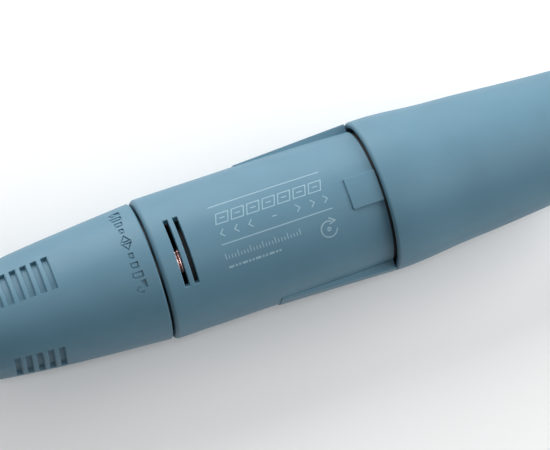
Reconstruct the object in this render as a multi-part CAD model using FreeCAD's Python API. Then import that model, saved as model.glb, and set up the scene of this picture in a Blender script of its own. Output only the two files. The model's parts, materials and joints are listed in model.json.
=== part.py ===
import FreeCAD, Part
import math
import os

# Laboratory micromotor handpiece for 2.35 mm shanks. Lengths are in millimetres.
# X runs along the spindle, from the nose to the cord. Z is the printed side, and Y carries one of the two
# fins. The origin is the centre of the collet's mouth. Angles round the axis count from +Y towards +Z.

V = FreeCAD.Vector
ORIGIN = V(0, 0, 0)
AXIS = V(1, 0, 0)
PRINT_SIDE = 90.0

# Outer shells.
CAP_FRONT = 1.0
CAP_REAR = 20.0
TWIST_FRONT = 20.4
TWIST_REAR = 54.25
NOSE_REAR_R = 13.5
NOSE_TAPER = 0.075
NOSE_BULGE = 5.58e-7
BODY_FRONT = 54.75
BODY_STRAIGHT_END = 75.6
BODY_REAR = 98.95
BODY_R = 13.85
BODY_RIM_R = 13.25
BODY_BORE_R = 12.4
SLEEVE_FRONT = 99.3
SLEEVE_SEAT = 104.0
SLEEVE_REAR = 143.0
RIM_R = 15.0
RIM_WALL = 1.1
RIM_ROUND = 0.55
SLEEVE_WALL = 1.4
SLEEVE_OUTLINE = [(105.0, 14.88), (108.5, 14.58), (112.0, 14.23), (120.0, 13.72), (127.0, 13.20)]
SLEEVE_END_R = 12.1
TAIL_REAR = 152.0
TAIL_R = 7.5

# Features of the twist shell.
GRIP_ROWS = [35.3, 33.2, 31.1, 29.0, 26.9, 24.8]
GRIP_WIDTH = 1.1
GRIP_DEPTH = 0.8
GRIP_HALF_SPAN = 17.2
GRIP_ANGLE = 68.3
LEGEND_X = 50.55
LEGEND_ANGLE = 68.5
LEGEND_PITCH = 8.2
LEGEND_DEPTH = 0.25
STROKE = 0.32
BAR_WIDTH = 1.2

# Features of the body shell.
SLOT_X = [58.7, 60.6]
SLOT_WIDTH = 0.92
SLOT_HALF_SPAN = 28.3
FIN_FRONT = 75.8
FIN_FRONT_R = 14.08
FIN_REAR_R = 14.95
FIN_FRONT_HALF = 3.4
FIN_REAR_HALF = 2.0
TAB_FRONT = 92.8
TAB_HALF = 3.05
TAB_R = 13.85
EDGE_ROUND = 0.15

# Collet and drawbar.
SHANK_R = 1.175
GRIP_LENGTH = 12.0
COLLET_R = 2.2
COLLET_CONE_END = 4.2
CONE_SLOPE = math.tan(math.radians(12))
COLLET_SHOULDER = 18.0
COLLET_TAIL_R = 1.75
COLLET_TAIL_END = 24.0
SLIT_LENGTH = 15.0
SLIT_WIDTH = 0.35
RELIEF_R = 1.3
SHANK_STOP = 30.0
DRAWBAR_END = 37.5
CROSS_PIN_X = 34.75
CROSS_PIN_R = 0.75
CROSS_PIN_REACH = 4.9
COLLET_TRAVEL = 1.2

# Spindle line.
RUN = 0.05
SPINDLE_FRONT = 0.25
SPINDLE_NOSE_R = 4.0
SPINDLE_R = 3.0
SPINDLE_REAR = 51.9
SPINDLE_BORE_END = 40.0
SPINDLE_BEARINGS = [12.0, 18.0, 43.0]
NUT_X = (22.0, 24.5)
CLIP_X = (42.2, 43.0)
THRUST_X = (33.0, 36.5)
THRUST_R = 5.3
DISC_COUNT = 11
DISC_THICKNESS = 0.4
DISC_RISE = 0.35
COUPLING_R = 4.9
COUPLING_HUB_X = (54.3, 55.9)
JAW_SPAN = 80.0
JAW_GAP = 0.3

# Ball bearings, as bore radius, outer radius, width, ball radius and ball count.
SPINDLE_BEARING = (3.0, 6.0, 4.0, 1.0, 8)
MOTOR_BEARING = (2.0, 4.5, 4.0, 0.8, 7)
RACE_GAP = 0.04

# Spindle housing and opening cam.
HOUSING_FRONT = 11.0
THREAD_R = 7.2
HOUSING_NECK_R = 7.4
HOUSING_STEP = 33.0
HOUSING_R = 8.6
HOUSING_BORE_R = 7.2
CARRIER_X = (42.5, 48.4)
CARRIER_R = 7.45
CIRCLIP_X = (48.4, 49.2)
FLANGE_FRONT = 50.5
FLANGE_NECK_R = 11.5
FLANGE_REAR = 56.2
SEAT_R = 12.35
CAM_X = (34.0, 49.9)
CAM_R = 10.2
CAM_FLANGE_X = 47.0
CAM_FLANGE_R = 12.0
CAM_TURN = 45.0
PUSHER_X = (36.85, 40.35)
PUSHER_TRAVEL = 1.5
CAM_PIN_X = 38.6
CAM_PIN_R = 1.0
CAM_PIN_CLEARANCE = 0.15
STOP_PIN_R = 0.75
STOP_PIN_ORBIT = 10.9
STOP_PIN_ANGLE = 270.0
O_RING_X = 44.5

# Motor.
MOTOR_FRONT_BEARING = 56.7
MOTOR_REAR_BEARING = 89.8
FRONT_PLATE = (56.2, 57.9)
REAR_PLATE = (91.5, 93.2)
SCREW_ORBIT = 9.9
SCREW_R = 0.8
SCREW_HEAD_R = 1.45
SCREW_ANGLES = [90.0, 210.0, 330.0]
CORE_X = (61.7, 87.0)
CORE_R = 11.2
CORE_BORE_R = 5.3
CORE_SLOTS = 6
CORE_START = 38.0
TOOTH_WIDTH = 2.6
COIL_X = (58.3, 90.4)
COIL_RADII = (6.5, 9.5)
COIL_HALF = 2.9
LINK_X = (58.3, 59.8)
LINK_R = 11.7
LINK_SPAN = 22
INSULATOR_WIDTH = 1.7
SHAFT_R = 2.0
SHAFT_X = (53.7, 101.0)
MAGNET_X = (62.2, 86.5)
MAGNET_R = 4.4
ROTOR_R = 4.75
FAN_X = (95.6, 98.6)
FAN_R = 10.5
FAN_BLADES = 7
SENSOR_MAGNET_X = (98.9, 100.4)
BOARD_X = (100.6, 101.8)
BOARD_R = 11.6
LEAD_ORBIT = 11.4
LEAD_R = 0.4

# Rear end.
CARRIER_STEP = 108.0
CARRIER_SEAT_R = 13.2
COLLAR_FRONT = 96.9
COLLAR_BORE_R = 11.9
COLLAR_R = 12.8
INSULATOR_R = 6.0
SOCKET_BORE_R = 6.2
SPIGOT_R = 7.3
INSULATOR_X = (133.0, 141.0)
CONTACT_ORBIT = 3.2
CONTACT_R = 0.9
CONTACT_COUNT = 4
SLEEVE_NUT_X = (143.1, 146.0)
SLEEVE_NUT_R = 9.8


def ring(x0, x1, r_in, r_out):
    """A tube along the axis, or a rod where r_in is 0."""
    outer = Part.makeCylinder(r_out, x1 - x0, V(x0, 0, 0), AXIS)
    if r_in == 0:
        return outer
    return outer.cut(Part.makeCylinder(r_in, x1 - x0, V(x0, 0, 0), AXIS))


def turned(edges):
    """The solid turned about the axis by a closed outline of edges in the XZ plane."""
    face = Part.Face(Part.Wire(edges))
    solid = face.revolve(ORIGIN, AXIS, 360)
    return Part.Solid(solid) if solid.ShapeType == "Shell" else solid


def at(x, r):
    return V(x, 0, r)


def line(a, b):
    return Part.LineSegment(at(*a), at(*b)).toShape()


def lines(points):
    return [line(a, b) for a, b in zip(points, points[1:])]


def arc(a, middle, b):
    return Part.Arc(at(*a), at(*middle), at(*b)).toShape()


def curve(points):
    spline = Part.BSplineCurve()
    spline.interpolate([at(*p) for p in points])
    return spline.toShape()


def turned_polygon(points):
    return turned(lines(points + points[:1]))


def torus(x, r, minor):
    return Part.makeTorus(r, minor, V(x, 0, 0), AXIS)


def spun(shape, angle):
    """A copy of a shape turned about the axis."""
    copy = shape.copy()
    copy.rotate(ORIGIN, AXIS, angle)
    return copy


def sector(x0, x1, r_in, r_out, start, span):
    corners = [V(x0, r_in, 0), V(x1, r_in, 0), V(x1, r_out, 0), V(x0, r_out, 0)]
    face = Part.Face(Part.makePolygon(corners + corners[:1]))
    return spun(face.revolve(ORIGIN, AXIS, span), start)


def radial_pin(x, angle, r0, r1, radius):
    pin = Part.makeCylinder(radius, r1 - r0, V(x, r0, 0), V(0, 1, 0))
    return spun(pin, angle)


def axial_pin(x0, x1, orbit, angle, radius):
    pin = Part.makeCylinder(radius, x1 - x0, V(x0, orbit, 0), AXIS)
    return spun(pin, angle)


def block(x0, x1, y0, y1, z0, z1):
    return Part.makeBox(x1 - x0, y1 - y0, z1 - z0, V(x0, y0, z0))


def cut_all(shape, cutters):
    return shape.cut(Part.makeCompound(cutters)) if cutters else shape


def rounded(shape, radius, wanted):
    """Rounds the edges of a shape whose middles satisfy a test of x, radius and angle from +Y."""
    edges = []
    for edge in shape.Edges:
        p = edge.valueAt((edge.FirstParameter + edge.LastParameter) / 2)
        if wanted(p.x, math.hypot(p.y, p.z), math.degrees(math.atan2(p.z, p.y)) % 360):
            edges.append(edge)
    return shape.makeFillet(radius, edges)


def around(count, start=0.0):
    return [start + 360.0 * k / count for k in range(count)]


# Ball bearings.


def pitch_radius(bearing):
    bore_r, outer_r = bearing[:2]
    return (bore_r + outer_r) / 2


def inner_race(x, bearing):
    bore_r, _, width, ball_r, _ = bearing
    orbit = pitch_radius(bearing)
    race = ring(x, x + width, bore_r, orbit - ball_r / 2)
    return race.cut(torus(x + width / 2, orbit, ball_r + RACE_GAP))


def outer_race(x, bearing):
    _, outer_r, width, ball_r, _ = bearing
    orbit = pitch_radius(bearing)
    race = ring(x, x + width, orbit + ball_r / 2, outer_r)
    return race.cut(torus(x + width / 2, orbit, ball_r + RACE_GAP))


def balls(x, bearing):
    width, ball_r, count = bearing[2:]
    ball = Part.makeSphere(ball_r, V(x + width / 2, pitch_radius(bearing), 0))
    return [spun(ball, a) for a in around(count)]


def cage(x, bearing):
    width, ball_r, count = bearing[2:]
    orbit = pitch_radius(bearing)
    middle = x + width / 2
    half = ball_r + 0.35
    band = ring(middle - half, middle + half, orbit - 0.35 * ball_r, orbit + 0.35 * ball_r)
    pockets = [radial_pin(middle, a, orbit - ball_r, orbit + ball_r, ball_r + 0.06) for a in around(count)]
    return cut_all(band, pockets)


# Marks engraved round the twist shell. Each is drawn flat, with its top towards the nose.


def bar(x, y, width, height, depth):
    return Part.makeBox(width, height, depth, V(x - width / 2, y - height / 2, 0))


def mark_bar(height, depth):
    """An outlined bar of a given height."""
    inner = bar(0, 0, BAR_WIDTH - 2 * STROKE, height - 2 * STROKE, depth)
    return bar(0, 0, BAR_WIDTH, height, depth).cut(inner)


def mark_arrow(direction, depth):
    """An outlined triangle that points left (-1) or right (1)."""

    def triangle(half_width, half_height):
        corners = [V(direction * half_width, 0, 0), V(-direction * half_width, half_height, 0)]
        corners.append(V(-direction * half_width, -half_height, 0))
        return Part.Face(Part.makePolygon(corners + corners[:1])).extrude(V(0, 0, depth))

    inner = triangle(0.42, 0.56)
    inner.translate(V(-direction * 0.12, 0, 0))
    return triangle(0.85, 1.12).cut(inner)


def mark_padlock(open_side, depth):
    """A padlock: its shackle stands over its body, or swings aside when open_side isn't 0."""
    shackle_r = 0.5
    lift = 0.25 if open_side else 0.0
    shift = open_side * 2 * shackle_r * 0.9
    outer = Part.makeCylinder(shackle_r + STROKE / 2, depth, V(shift, 0.25 + lift, 0))
    inner = Part.makeCylinder(shackle_r - STROKE / 2, depth, V(shift, 0.25 + lift, 0))
    hoop = outer.cut(inner).cut(bar(shift, -0.75 + lift, 3, 2, depth))
    legs = [bar(shift - shackle_r, lift / 2, STROKE, 0.5 + lift, depth)]
    legs.append(bar(shift + shackle_r, lift / 2, STROKE, 0.5 + lift, depth))
    return hoop.multiFuse(legs + [bar(0, -0.6, 1.6, 1.1, depth)])


def legend_cutters():
    """The legend: an open padlock, rising bars, two arrows, rising bars and a shut padlock."""
    reach = LEGEND_DEPTH + 1.0
    bars = [mark_bar(h, reach) for h in (1.0, 1.6, 2.2)]
    glyphs = [mark_padlock(-1, reach)] + [bars[2].copy(), bars[1].copy(), bars[0].copy()]
    glyphs += [mark_arrow(-1, reach), mark_arrow(1, reach)]
    glyphs += bars + [mark_padlock(0, reach)]
    placed = []
    for k, glyph in enumerate(glyphs):
        glyph.rotate(ORIGIN, V(0, 0, 1), 90)
        glyph.translate(V(LEGEND_X, 0, nose_radius(LEGEND_X) - LEGEND_DEPTH))
        offset = (k - (len(glyphs) - 1) / 2) * LEGEND_PITCH
        placed.append(spun(glyph, LEGEND_ANGLE - offset - PRINT_SIDE))
    return placed


# Outer shells.


def nose_radius(x):
    """The nose's outer radius: a straight taper that rounds off towards the tip."""
    d = TWIST_REAR - x
    return NOSE_REAR_R - NOSE_TAPER * d - NOSE_BULGE * d**4


def nose_curve(x0, x1, steps):
    xs = [x0 + (x1 - x0) * k / steps for k in range(steps + 1)]
    return curve([(x, nose_radius(x)) for x in xs])


def nose_cap():
    tip_r = nose_radius(CAP_FRONT + 0.5)
    seal_x = (8.5, 10.5)
    spindle_gap_r = SPINDLE_NOSE_R + 0.3
    front = [(CAP_FRONT, spindle_gap_r), (CAP_FRONT, tip_r - 0.4), (CAP_FRONT + 0.5, tip_r)]
    inside = [(CAP_REAR, nose_radius(CAP_REAR)), (CAP_REAR, THREAD_R), (HOUSING_FRONT, THREAD_R)]
    inside += [(HOUSING_FRONT, 5.3), (seal_x[1], 5.3), (seal_x[1], 6.0), (seal_x[0], 6.0)]
    inside += [(seal_x[0], spindle_gap_r), (CAP_FRONT, spindle_gap_r)]
    return turned(lines(front) + [nose_curve(CAP_FRONT + 0.5, CAP_REAR, 6)] + lines(inside))


def dust_seal():
    lip_r = SPINDLE_NOSE_R + 0.08
    return turned_polygon([(8.5, lip_r), (8.9, lip_r), (9.2, 4.6), (10.5, 4.6), (10.5, 6.0), (8.5, 6.0)])


def groove_outline(x):
    """A finger groove's section: straight walls that flare out where they meet the shell."""
    rim_r = nose_radius(x)
    half = GRIP_WIDTH / 2
    half_flare = half + 2 * EDGE_ROUND
    points = [(x - half, rim_r - GRIP_DEPTH), (x + half, rim_r - GRIP_DEPTH), (x + half, rim_r - EDGE_ROUND)]
    points += [(x + half_flare, rim_r + EDGE_ROUND), (x - half_flare, rim_r + EDGE_ROUND)]
    return points + [(x - half, rim_r - EDGE_ROUND)]


def grip_cutters():
    """Short finger grooves in four groups. Two opposite groups start one row further back."""
    cutters = []
    for group in range(4):
        rows = GRIP_ROWS if group % 2 == 0 else GRIP_ROWS[1:]
        start = GRIP_ANGLE + 90.0 * group - GRIP_HALF_SPAN
        for x in rows:
            corners = [V(px, pr, 0) for px, pr in groove_outline(x)]
            face = Part.Face(Part.makePolygon(corners + corners[:1]))
            cutters.append(spun(face.revolve(ORIGIN, AXIS, 2 * GRIP_HALF_SPAN), start))
    return cutters


def key_block(gap=0.0):
    return block(47.5 - gap, 49.4 + gap, 11.2 - gap, 12.5 + gap, -0.8 - gap, 0.8 + gap)


def twist_shell():
    bevel = 0.25
    neck_r = HOUSING_NECK_R + 0.1
    rear_r = nose_radius(TWIST_REAR)
    outside = [nose_curve(TWIST_FRONT, TWIST_REAR - bevel, 6)]
    inside = [(TWIST_REAR - bevel, nose_radius(TWIST_REAR - bevel)), (TWIST_REAR, rear_r - bevel)]
    inside += [(TWIST_REAR, CAM_FLANGE_R), (CAM_FLANGE_X, CAM_FLANGE_R), (CAM_FLANGE_X, 11.6)]
    inside += [(36.0, 10.7), (36.0, CAM_R), (HOUSING_STEP, CAM_R), (22.4, 8.95), (22.4, neck_r)]
    inside += [(TWIST_FRONT, neck_r), (TWIST_FRONT, nose_radius(TWIST_FRONT))]
    shell = turned(outside + lines(inside))
    keys = [spun(key_block(), a) for a in (0, 180)]
    shell = cut_all(shell, grip_cutters())
    shell = rounded(shell, EDGE_ROUND, lambda x, r, angle: x < TWIST_FRONT + 0.02 and r > neck_r + 0.1)
    return cut_all(shell, keys + legend_cutters())


def body_fin(angle):
    """One side fin: it widens towards the front and rises towards the rear."""
    floor_r = BODY_BORE_R + 0.3
    plan = [V(FIN_FRONT, 0, -FIN_FRONT_HALF), V(BODY_REAR, 0, -FIN_REAR_HALF)]
    plan += [V(BODY_REAR, 0, FIN_REAR_HALF), V(FIN_FRONT, 0, FIN_FRONT_HALF)]
    prism = Part.Face(Part.makePolygon(plan + plan[:1])).extrude(V(0, 16, 0))
    ramp = [(FIN_FRONT, floor_r), (BODY_REAR, floor_r), (BODY_REAR, FIN_REAR_R), (FIN_FRONT, FIN_FRONT_R)]
    return spun(prism.common(turned_polygon(ramp)), angle)


def body_tab():
    pad = block(TAB_FRONT, BODY_REAR, -TAB_HALF, TAB_HALF, 10.0, 16.0)
    return pad.common(ring(TAB_FRONT, BODY_REAR, BODY_BORE_R + 0.3, TAB_R))


def body_shell():
    edge = 0.8
    middle = (BODY_STRAIGHT_END + BODY_REAR) / 2
    middle_r = BODY_R - (BODY_R - BODY_RIM_R) / 4
    corner = edge * (1 - math.sqrt(0.5))
    outside = [line((BODY_FRONT, BODY_BORE_R), (BODY_FRONT, BODY_R - edge))]
    outside.append(
        arc((BODY_FRONT, BODY_R - edge), (BODY_FRONT + corner, BODY_R - corner), (BODY_FRONT + edge, BODY_R))
    )
    outside.append(line((BODY_FRONT + edge, BODY_R), (BODY_STRAIGHT_END, BODY_R)))
    outside.append(arc((BODY_STRAIGHT_END, BODY_R), (middle, middle_r), (BODY_REAR, BODY_RIM_R)))
    inside = [(BODY_REAR, BODY_RIM_R), (BODY_REAR, BODY_BORE_R), (BODY_FRONT, BODY_BORE_R)]
    shell = turned(outside + lines(inside))
    shell = round_pads(shell.multiFuse([body_fin(0), body_fin(180), body_tab()]))
    slots = []
    for x in SLOT_X:
        for side in (PRINT_SIDE, PRINT_SIDE + 180):
            start = side - SLOT_HALF_SPAN
            x_range = (x - SLOT_WIDTH / 2, x + SLOT_WIDTH / 2)
            slots.append(sector(*x_range, 12.0, 15.0, start, 2 * SLOT_HALF_SPAN))
    shell = cut_all(shell, slots)
    return rounded(shell, EDGE_ROUND * 0.8, lambda x, r, angle: on_slot_rim(x, r))


def on_slot_rim(x, r):
    """True at the middle of a vent slot's outer edge, and not at the body's own seam between the slots."""
    at_slot = any(abs(x - slot_x) < SLOT_WIDTH / 2 + 0.01 for slot_x in SLOT_X)
    return at_slot and abs(r - BODY_R) < 0.01


def round_pads(shell):
    """Rounds the tab and the fins: first their upright corners, then the rims of their tops."""

    def near_print(angle):
        return 75 < angle < 88 or 92 < angle < 105

    def near_fins(angle):
        return angle < 20 or 160 < angle < 200 or angle > 340

    def tab_corner(x, r, angle):
        return abs(x - TAB_FRONT) < 0.05 and TAB_R - 0.3 < r < TAB_R - 0.05 and near_print(angle)

    def tab_rim(x, r, angle):
        return x < BODY_REAR - 0.1 and r > TAB_R - 0.01 and near_print(angle)

    def fin_corner(x, r, angle):
        return abs(x - FIN_FRONT) < 0.05 and BODY_R + 0.05 < r < FIN_FRONT_R - 0.05 and near_fins(angle)

    def fin_rim(x, r, angle):
        return x < BODY_REAR - 0.1 and r > FIN_FRONT_R - 0.01 and near_fins(angle)

    shell = rounded(shell, 2 * EDGE_ROUND, tab_corner)
    shell = rounded(shell, EDGE_ROUND, tab_rim)
    shell = rounded(shell, 3 * EDGE_ROUND, fin_corner)
    return rounded(shell, EDGE_ROUND, fin_rim)


def rear_sleeve():
    rim_in = RIM_R - RIM_WALL
    rim_corner = RIM_ROUND * (1 - math.sqrt(0.5))
    rim_edge = (SLEEVE_FRONT, RIM_R - RIM_ROUND)
    rim_top = (SLEEVE_FRONT + RIM_ROUND, RIM_R)
    round_r = 1.5
    end_r = SLEEVE_END_R - 0.3
    corner = round_r * (1 - math.sqrt(0.5))
    mouth = [(SLEEVE_FRONT + EDGE_ROUND, rim_in), (SLEEVE_FRONT, rim_in + EDGE_ROUND)]
    outside = lines(mouth + [rim_edge])
    outside.append(arc(rim_edge, (SLEEVE_FRONT + rim_corner, RIM_R - rim_corner), rim_top))
    last = (SLEEVE_REAR - round_r, SLEEVE_END_R + 0.1)
    outside.append(curve([rim_top] + SLEEVE_OUTLINE + [last]))
    outside.append(arc(last, (SLEEVE_REAR - corner, end_r - 0.05), (SLEEVE_REAR, SLEEVE_END_R - round_r)))
    inside = [(SLEEVE_REAR, SLEEVE_END_R - round_r), (SLEEVE_REAR, TAIL_R), (SLEEVE_REAR - 2.0, TAIL_R)]
    knee_x, knee_r = SLEEVE_OUTLINE[2]
    inside += [(SLEEVE_REAR - 2.0, SLEEVE_END_R - SLEEVE_WALL), (knee_x, knee_r - SLEEVE_WALL)]
    inside += [(CARRIER_STEP, CARRIER_SEAT_R - 0.3), (CARRIER_STEP, CARRIER_SEAT_R)]
    inside += [(SLEEVE_SEAT, CARRIER_SEAT_R), (SLEEVE_SEAT, rim_in), (SLEEVE_FRONT + EDGE_ROUND, rim_in)]
    return turned(outside + lines(inside))


# Collet, drawbar and what opens them.


def collet():
    mouth_r = COLLET_R + COLLET_CONE_END * CONE_SLOPE
    outline = [(0, SHANK_R), (0, mouth_r), (COLLET_CONE_END, COLLET_R), (COLLET_SHOULDER, COLLET_R)]
    outline += [(COLLET_SHOULDER, COLLET_TAIL_R), (COLLET_TAIL_END, COLLET_TAIL_R)]
    outline += [(COLLET_TAIL_END, RELIEF_R), (GRIP_LENGTH, RELIEF_R), (GRIP_LENGTH, SHANK_R)]
    slits = []
    for angle in around(3, 30):
        slit = block(0, SLIT_LENGTH, 0, 4.0, -SLIT_WIDTH / 2, SLIT_WIDTH / 2)
        slits.append(spun(slit, angle))
    return cut_all(turned_polygon(outline), slits)


def drawbar():
    outline = [(COLLET_SHOULDER, COLLET_TAIL_R), (COLLET_SHOULDER, COLLET_R), (DRAWBAR_END, COLLET_R)]
    outline += [(DRAWBAR_END, 0), (SHANK_STOP, 0), (SHANK_STOP, RELIEF_R), (COLLET_TAIL_END, RELIEF_R)]
    outline += [(COLLET_TAIL_END, COLLET_TAIL_R)]
    return turned_polygon(outline).cut(cross_pin())


def cross_pin():
    return radial_pin(CROSS_PIN_X, 0, -CROSS_PIN_REACH, CROSS_PIN_REACH, CROSS_PIN_R)


def thrust_ring():
    return ring(*THRUST_X, SPINDLE_R + RUN, THRUST_R).cut(cross_pin())


def stadium_slot(x0, x1, angle, r0, r1, radius):
    """A radial slot with round ends, between two centres on the axis."""
    middle = block(x0, x1, r0, r1, -radius, radius)
    ends = [radial_pin(x, 0, r0, r1, radius) for x in (x0, x1)]
    return spun(middle.multiFuse(ends), angle)


def spindle():
    seat_r = COLLET_R + RUN + (COLLET_CONE_END - SPINDLE_FRONT) * CONE_SLOPE
    chamfer = 0.4
    outline = [(SPINDLE_FRONT, seat_r), (SPINDLE_FRONT, SPINDLE_NOSE_R - chamfer)]
    outline += [(SPINDLE_FRONT + chamfer, SPINDLE_NOSE_R), (SPINDLE_BEARINGS[0], SPINDLE_NOSE_R)]
    outline += [(SPINDLE_BEARINGS[0], SPINDLE_R), (CLIP_X[0], SPINDLE_R), (CLIP_X[0], SPINDLE_R - 0.3)]
    outline += [(CLIP_X[1], SPINDLE_R - 0.3), (CLIP_X[1], SPINDLE_R), (SPINDLE_REAR, SPINDLE_R)]
    outline += [(SPINDLE_REAR, 0), (SPINDLE_BORE_END, 0), (SPINDLE_BORE_END, COLLET_R + RUN)]
    outline += [(COLLET_CONE_END, COLLET_R + RUN)]
    slot_radius = CROSS_PIN_R + RUN
    slot = stadium_slot(CROSS_PIN_X - COLLET_TRAVEL - RUN, CROSS_PIN_X + RUN, 0, -4.0, 4.0, slot_radius)
    return turned_polygon(outline).cut(slot)


def spindle_nut():
    nut = ring(*NUT_X, SPINDLE_R, 4.8)
    notches = [spun(block(NUT_X[1] - 0.8, NUT_X[1], 3.9, 5.0, -0.6, 0.6), a) for a in around(4)]
    return cut_all(nut, notches)


def clip_ring(x_range, r_in, r_out, gap):
    """A retaining ring with a gap towards +Y."""
    return ring(*x_range, r_in, r_out).cut(block(x_range[0], x_range[1], 0, r_out + 1, -gap / 2, gap / 2))


def disc(x, r_in, r_out, thickness, rise, dish):
    """A conical spring washer that fills x to x + thickness + rise, its rim forward when dish is True."""
    inner, outer = (rise, 0.0) if dish else (0.0, rise)
    outline = [(x + inner, r_in), (x + inner + thickness, r_in)]
    outline += [(x + outer + thickness, r_out), (x + outer, r_out)]
    return turned_polygon(outline)


def disc_springs():
    pitch = (THRUST_X[0] - NUT_X[1]) / DISC_COUNT
    slack = pitch - DISC_THICKNESS - DISC_RISE
    discs = []
    for k in range(DISC_COUNT):
        x = NUT_X[1] + k * pitch + slack / 2
        discs.append(disc(x, SPINDLE_R + 0.1, THRUST_R - 0.2, DISC_THICKNESS, DISC_RISE, k % 2 == 1))
    return discs


def driven_coupling():
    hub = ring(49.3, SPINDLE_REAR, SPINDLE_R, COUPLING_R)
    jaw_x = (SPINDLE_REAR, COUPLING_HUB_X[0] - JAW_GAP)
    jaws = [sector(*jaw_x, 2.6, COUPLING_R, a - JAW_SPAN / 2, JAW_SPAN) for a in (0, 180)]
    return hub.multiFuse(jaws)


def driving_coupling():
    front, rear = COUPLING_HUB_X
    hub = ring(front, rear, SHAFT_R, COUPLING_R).fuse(ring(rear, MOTOR_FRONT_BEARING, SHAFT_R, 2.8))
    jaw_x = (SPINDLE_REAR + JAW_GAP, front)
    jaws = [sector(*jaw_x, 2.6, COUPLING_R, a - JAW_SPAN / 2, JAW_SPAN) for a in (90, 270)]
    return hub.multiFuse(jaws)


def pusher_ring():
    holes = [radial_pin(CAM_PIN_X, a, 5.0, 8.0, CAM_PIN_R) for a in (90, 270)]
    return cut_all(ring(*PUSHER_X, SPINDLE_R + 0.4, HOUSING_BORE_R - RUN), holes)


def cam_pins():
    return [radial_pin(CAM_PIN_X, a, 5.0, CAM_R - 0.3, CAM_PIN_R) for a in (90, 270)]


def cam_slot(angle):
    """The cam's slanted slot: as the sleeve turns by CAM_TURN, its pin is driven forward by PUSHER_TRAVEL."""
    steps = 20
    radius = CAM_PIN_R + CAM_PIN_CLEARANCE
    stations = []
    for k in range(steps + 1):
        x = CAM_PIN_X - PUSHER_TRAVEL * k / steps
        stations.append(radial_pin(x, angle - CAM_TURN * k / steps, 8.0, 11.0, radius))
    return stations[0].multiFuse(stations[1:])


def stop_groove():
    """The arc that the stop pin runs in, which ends the sleeve's turn."""
    radius = STOP_PIN_R + 0.1
    span = (CAM_X[1] - 1.4, CAM_X[1])
    start = STOP_PIN_ANGLE - CAM_TURN
    arc_part = sector(*span, STOP_PIN_ORBIT - radius, STOP_PIN_ORBIT + radius, start, CAM_TURN)
    ends = [axial_pin(*span, STOP_PIN_ORBIT, a, radius) for a in (start, STOP_PIN_ANGLE)]
    return arc_part.multiFuse(ends)


def cam_sleeve():
    tube = ring(*CAM_X, HOUSING_R + RUN, CAM_R)
    flange = ring(CAM_FLANGE_X, CAM_X[1], CAM_R, CAM_FLANGE_R)
    keys = [spun(key_block(), a) for a in (0, 180)]
    return cut_all(tube.fuse(flange), [cam_slot(90), cam_slot(270), stop_groove()] + keys)


def spindle_housing():
    front_seat_end = SPINDLE_BEARINGS[1] + SPINDLE_BEARING[2]
    outline = [(HOUSING_FRONT, SPINDLE_BEARING[1]), (HOUSING_FRONT, THREAD_R), (CAP_REAR, THREAD_R)]
    outline += [(CAP_REAR, HOUSING_NECK_R), (HOUSING_STEP, HOUSING_NECK_R), (HOUSING_STEP, HOUSING_R)]
    outline += [(FLANGE_FRONT, HOUSING_R), (FLANGE_FRONT, FLANGE_NECK_R), (BODY_FRONT, FLANGE_NECK_R)]
    outline += [(BODY_FRONT, SEAT_R), (FLANGE_REAR, SEAT_R), (FLANGE_REAR, CARRIER_R)]
    outline += [(CARRIER_X[0], CARRIER_R), (CARRIER_X[0], HOUSING_BORE_R), (HOUSING_STEP, HOUSING_BORE_R)]
    outline += [(HOUSING_STEP, 5.9), (front_seat_end + 1.5, 5.9), (front_seat_end + 1.5, 5.2)]
    outline += [(front_seat_end, 5.2), (front_seat_end, SPINDLE_BEARING[1])]
    cutters = [ring(O_RING_X - 0.7, O_RING_X + 0.7, 7.9, HOUSING_R + 1)]
    cutters.append(ring(*CIRCLIP_X, CARRIER_R - 1, 8.0))
    pin_x = (CAM_PIN_X - PUSHER_TRAVEL - RUN, CAM_PIN_X + RUN)
    cutters += [stadium_slot(*pin_x, a, 6.5, 9.5, CAM_PIN_R + RUN) for a in (90, 270)]
    cutters.append(axial_pin(FLANGE_FRONT, 53.0, STOP_PIN_ORBIT, STOP_PIN_ANGLE, STOP_PIN_R))
    cutters += [axial_pin(52.5, FLANGE_REAR, SCREW_ORBIT, a, SCREW_R) for a in SCREW_ANGLES]
    return cut_all(turned_polygon(outline), cutters)


def stop_pin():
    return axial_pin(CAM_X[1] - 1.2, 53.0, STOP_PIN_ORBIT, STOP_PIN_ANGLE, STOP_PIN_R)


def bearing_carrier():
    seat_r = SPINDLE_BEARING[1]
    outline = [(CARRIER_X[0], seat_r), (CARRIER_X[0], CARRIER_R), (CARRIER_X[1], CARRIER_R)]
    outline += [(CARRIER_X[1], 5.1), (CARRIER_X[1] - 0.8, 5.1), (CARRIER_X[1] - 0.8, seat_r)]
    return turned_polygon(outline)


# Motor.


def front_plate():
    hub_r = 6.2
    seat_r = MOTOR_BEARING[1]
    hub_end = MOTOR_FRONT_BEARING + MOTOR_BEARING[2] + 0.3
    spigot = FRONT_PLATE[0] - 1.7
    outline = [(FRONT_PLATE[0], 3.3), (FRONT_PLATE[0], 6.3), (spigot, 6.3), (spigot, CARRIER_R)]
    outline += [(FRONT_PLATE[0], CARRIER_R), (FRONT_PLATE[0], SEAT_R), (FRONT_PLATE[1], SEAT_R)]
    outline += [(FRONT_PLATE[1], hub_r), (hub_end, hub_r), (hub_end, seat_r)]
    outline += [(MOTOR_FRONT_BEARING, seat_r), (MOTOR_FRONT_BEARING, 3.3)]
    return cut_all(turned_polygon(outline), [flange_screw(a) for a in SCREW_ANGLES])


def flange_screw(angle):
    """One screw's outer shape, without its hexagon socket."""
    shank = axial_pin(52.5, FRONT_PLATE[1], SCREW_ORBIT, angle, SCREW_R)
    head = axial_pin(FRONT_PLATE[1] - 0.9, FRONT_PLATE[1], SCREW_ORBIT, angle, SCREW_HEAD_R)
    return shank.fuse(head)


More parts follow.
